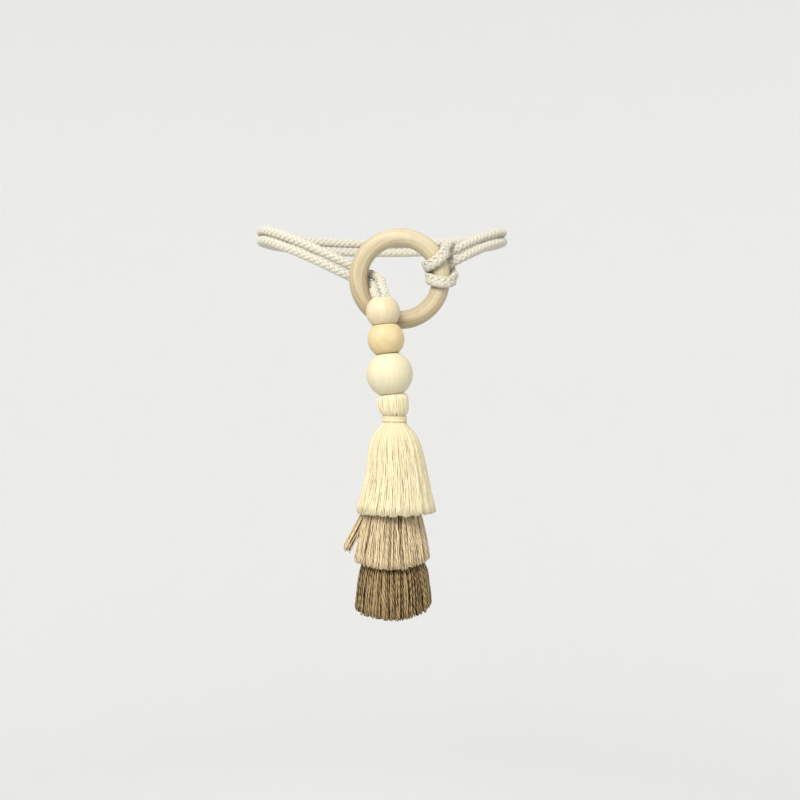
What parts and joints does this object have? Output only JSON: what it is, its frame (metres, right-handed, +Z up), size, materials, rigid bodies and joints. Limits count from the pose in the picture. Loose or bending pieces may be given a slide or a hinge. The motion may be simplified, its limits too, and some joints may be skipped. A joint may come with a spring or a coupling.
{
  "type": "curtain tieback tassel",
  "caption": "Curtain tieback: a doubled braided cotton cord hitched to a wooden ring and led through wooden beads to a tiered yarn tassel.",
  "frame": {"origin": "middle of the cord's loop, at the level of its sides, where the gathered curtain stands", "axes": "+Z up along the gathered curtain, -Y towards the room, on the side of the ring and the tassel, +X to the right as seen from the room"},
  "size_m": [0.1492, 0.1301, 0.2158],
  "materials": {
    "ring_wood": "satin, pale unstained wood",
    "bead_wood": "satin, pale unstained wood",
    "cotton_cord": "matt braided cotton",
    "cream_yarn": "matt twisted cotton",
    "beige_yarn": "matt twisted cotton",
    "brown_yarn": "matt twisted cotton"
  },
  "bodies": {
    "root": {"wooden_ring": "ring_wood", "bead_small": "bead_wood", "bead_medium": "bead_wood", "bead_large": "bead_wood", "tie_cord": "cotton_cord", "neck_binding": "cream_yarn", "tassel_cream": "cream_yarn", "tassel_beige": "beige_yarn", "tassel_brown": "brown_yarn"}
  },
  "joints": []
}
